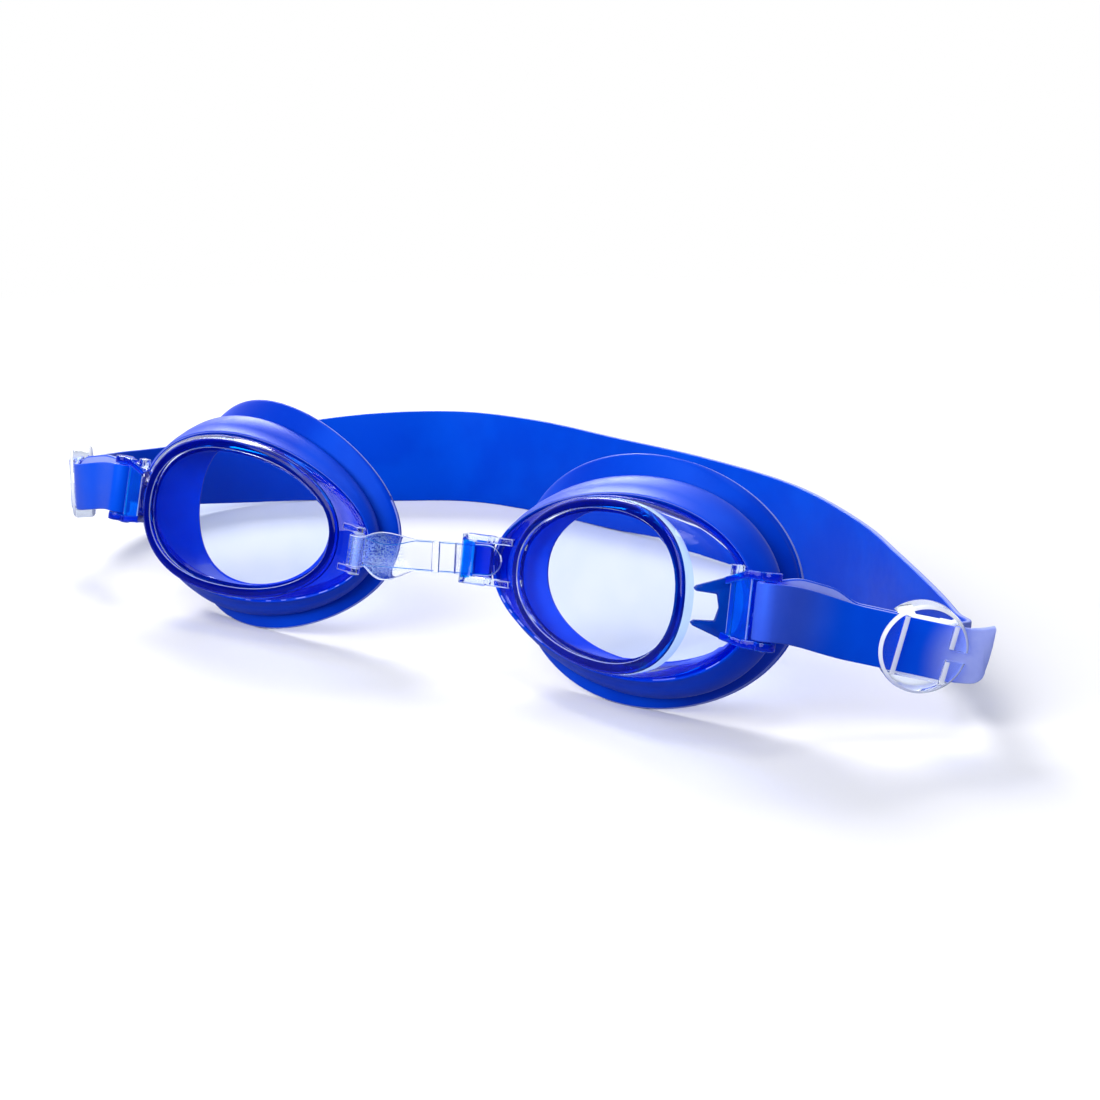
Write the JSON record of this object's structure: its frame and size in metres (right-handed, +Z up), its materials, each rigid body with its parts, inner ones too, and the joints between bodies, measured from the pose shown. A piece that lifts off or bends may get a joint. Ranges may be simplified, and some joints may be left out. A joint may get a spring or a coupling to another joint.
{
  "type": "swim goggles",
  "caption": "Swim goggles with clear oval eyecups, soft face seals, an adjustable nose bridge and a wide head strap with round buckles.",
  "frame": {"origin": "middle of the goggles' footprint on the table, under both face seals and the back of the strap", "axes": "+X to the right as seen from the front, along both eyecups; +Y from the lens fronts back through the strap loop; +Z up, along the height of the eyecups"},
  "size_m": [0.2304, 0.128, 0.0454],
  "materials": {
    "lens": "clear polished",
    "face_seal": "satin silicone",
    "bridge": "clear soft",
    "strap": "satin silicone",
    "buckle": "clear polished"
  },
  "bodies": {
    "strap": {"head_strap": "strap"},
    "left_eyecup": {"left_lens": "lens", "left_gasket": "face_seal"},
    "right_eyecup": {"right_lens": "lens", "right_gasket": "face_seal"},
    "bridge": {"nose_bridge": "bridge"},
    "left_slider": {"left_buckle": "buckle"},
    "right_slider": {"right_buckle": "buckle"}
  },
  "joints": [
    {"name": "left_eyecup_swivel", "type": "hinge", "parent": "strap", "child": "left_eyecup", "pos_m": [-0.07304, -0.05166, 0.02488], "axis": [0.0539, 0.2039, 0.9775], "range_deg": [-8, 6]},
    {"name": "right_eyecup_swivel", "type": "hinge", "parent": "strap", "child": "right_eyecup", "pos_m": [0.08544, -0.05854, 0.02488], "axis": [-0.0152, 0.2104, 0.9775], "range_deg": [-6, 8]},
    {"name": "bridge_swivel", "type": "hinge", "parent": "left_eyecup", "child": "bridge", "pos_m": [-0.00726, -0.05467, 0.02137], "axis": [0.0539, 0.2039, 0.9775], "range_deg": [-6, 8]},
    {"name": "left_buckle_slide", "type": "slide", "parent": "strap", "child": "left_slider", "axis": [-0.6879, 0.7124, -0.1386], "range_m": [-0.004, 0]},
    {"name": "right_buckle_slide", "type": "slide", "parent": "strap", "child": "right_slider", "axis": [0.7432, 0.6236, -0.2425], "range_m": [-0.004, 0]}
  ],
  "couplings": [
    {"joint": "right_eyecup_swivel", "follows": "left_eyecup_swivel", "ratio": -0.9985},
    {"joint": "bridge_swivel", "follows": "left_eyecup_swivel", "ratio": -1}
  ]
}
